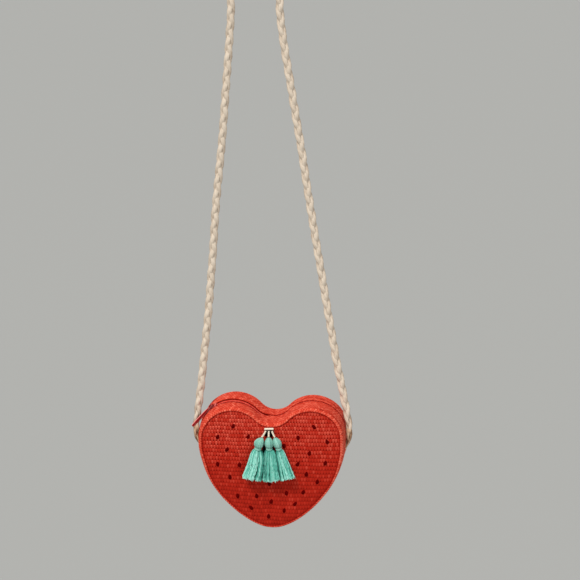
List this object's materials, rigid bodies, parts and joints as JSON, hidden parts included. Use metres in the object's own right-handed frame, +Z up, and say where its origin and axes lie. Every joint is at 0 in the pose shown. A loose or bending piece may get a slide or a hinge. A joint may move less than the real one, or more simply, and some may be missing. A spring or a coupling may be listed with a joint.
{
  "type": "heart-shaped strawberry crossbody bag",
  "caption": "Small heart-shaped strawberry bag of woven straw with a zipped top, hanging by a long braided strap, with a bunch of tassels on its front.",
  "frame": {"origin": "where the underside of the strap's bend sits on the peg that carries it", "axes": "+Z up, +X to the right seen from the front, -Y towards the viewer; the bag's back faces +Y"},
  "size_m": [0.1792, 0.058, 0.6382],
  "materials": {
    "woven_red_straw": "tight horizontal weave of red paper straw, matt with a slight sheen",
    "woven_coral_straw": "finer woven coral-red straw, matt with a slight sheen",
    "lining_cloth": "plain beige cotton",
    "zipper_tape_cloth": "woven red tape",
    "zipper_teeth": "red nylon coil",
    "enamelled_red_metal": "red enamelled zinc, satin",
    "natural_straw_braid": "natural straw, matt",
    "cream_thread": "cream cotton cord",
    "mint_thread": "mint green embroidery floss with a silky sheen"
  },
  "bodies": {
    "strap": {"strap": "natural_straw_braid"},
    "bag": {"front_panel": "woven_red_straw", "back_panel": "woven_coral_straw", "side_gusset": "woven_coral_straw", "top_gusset_front": "woven_coral_straw", "top_gusset_back": "woven_coral_straw", "lining_front": "lining_cloth", "lining_back": "lining_cloth", "lining_side": "lining_cloth", "lining_top_front": "lining_cloth", "lining_top_back": "lining_cloth", "zipper_tape_front": "zipper_tape_cloth", "zipper_tape_back": "zipper_tape_cloth", "zipper_coil_front": "zipper_teeth", "zipper_coil_back": "zipper_teeth", "zipper_top_stop": "enamelled_red_metal", "zipper_bottom_stop": "enamelled_red_metal", "strap_end_left": "natural_straw_braid", "strap_end_right": "natural_straw_braid", "tassel_tab": "cream_thread"},
    "slider": {"zipper_slider": "enamelled_red_metal"},
    "pull": {"zipper_pull": "enamelled_red_metal"},
    "tassel_left_cord": {"tassel_left_cord": "cream_thread"},
    "tassel_left": {"tassel_left_head": "mint_thread", "tassel_left_binding": "mint_thread", "tassel_left_skirt": "mint_thread"},
    "tassel_middle": {"tassel_middle_cord": "cream_thread", "tassel_middle_head": "mint_thread", "tassel_middle_binding": "mint_thread", "tassel_middle_skirt": "mint_thread"},
    "tassel_right_cord": {"tassel_right_cord": "cream_thread"},
    "tassel_right": {"tassel_right_head": "mint_thread", "tassel_right_binding": "mint_thread", "tassel_right_skirt": "mint_thread"}
  },
  "joints": [
    {"name": "bag_swing", "type": "hinge", "parent": "strap", "child": "bag", "pos_m": [0.0182, -0.0055, -0.5261], "axis": [1, 0, 0], "range_deg": [-5, 45]},
    {"name": "zip_travel", "type": "hinge", "parent": "bag", "child": "slider", "pos_m": [-0.0248, -0.008, -0.5241], "axis": [0, 1, 0], "range_deg": [0, 79]},
    {"name": "pull_flip", "type": "hinge", "parent": "slider", "child": "pull", "pos_m": [-0.0495, -0.008, -0.49568], "axis": [0, 1, 0], "range_deg": [0, 165]},
    {"name": "tassel_left_lift", "type": "hinge", "parent": "bag", "child": "tassel_left_cord", "pos_m": [0.0118, -0.0323, -0.5147], "axis": [-1, 0, 0], "range_deg": [0, 100]},
    {"name": "tassel_left_fan", "type": "hinge", "parent": "tassel_left_cord", "child": "tassel_left", "pos_m": [0.0064, -0.0362, -0.5196], "axis": [0, 1, 0], "range_deg": [0, 45]},
    {"name": "tassel_middle_lift", "type": "hinge", "parent": "bag", "child": "tassel_middle", "pos_m": [0.0157, -0.0323, -0.5147], "axis": [-1, 0, 0], "range_deg": [0, 100]},
    {"name": "tassel_right_lift", "type": "hinge", "parent": "bag", "child": "tassel_right_cord", "pos_m": [0.0194, -0.0323, -0.5147], "axis": [-1, 0, 0], "range_deg": [0, 100]},
    {"name": "tassel_right_fan", "type": "hinge", "parent": "tassel_right_cord", "child": "tassel_right", "pos_m": [0.0234, -0.0356, -0.5196], "axis": [0, -1, 0], "range_deg": [0, 45]}
  ]
}
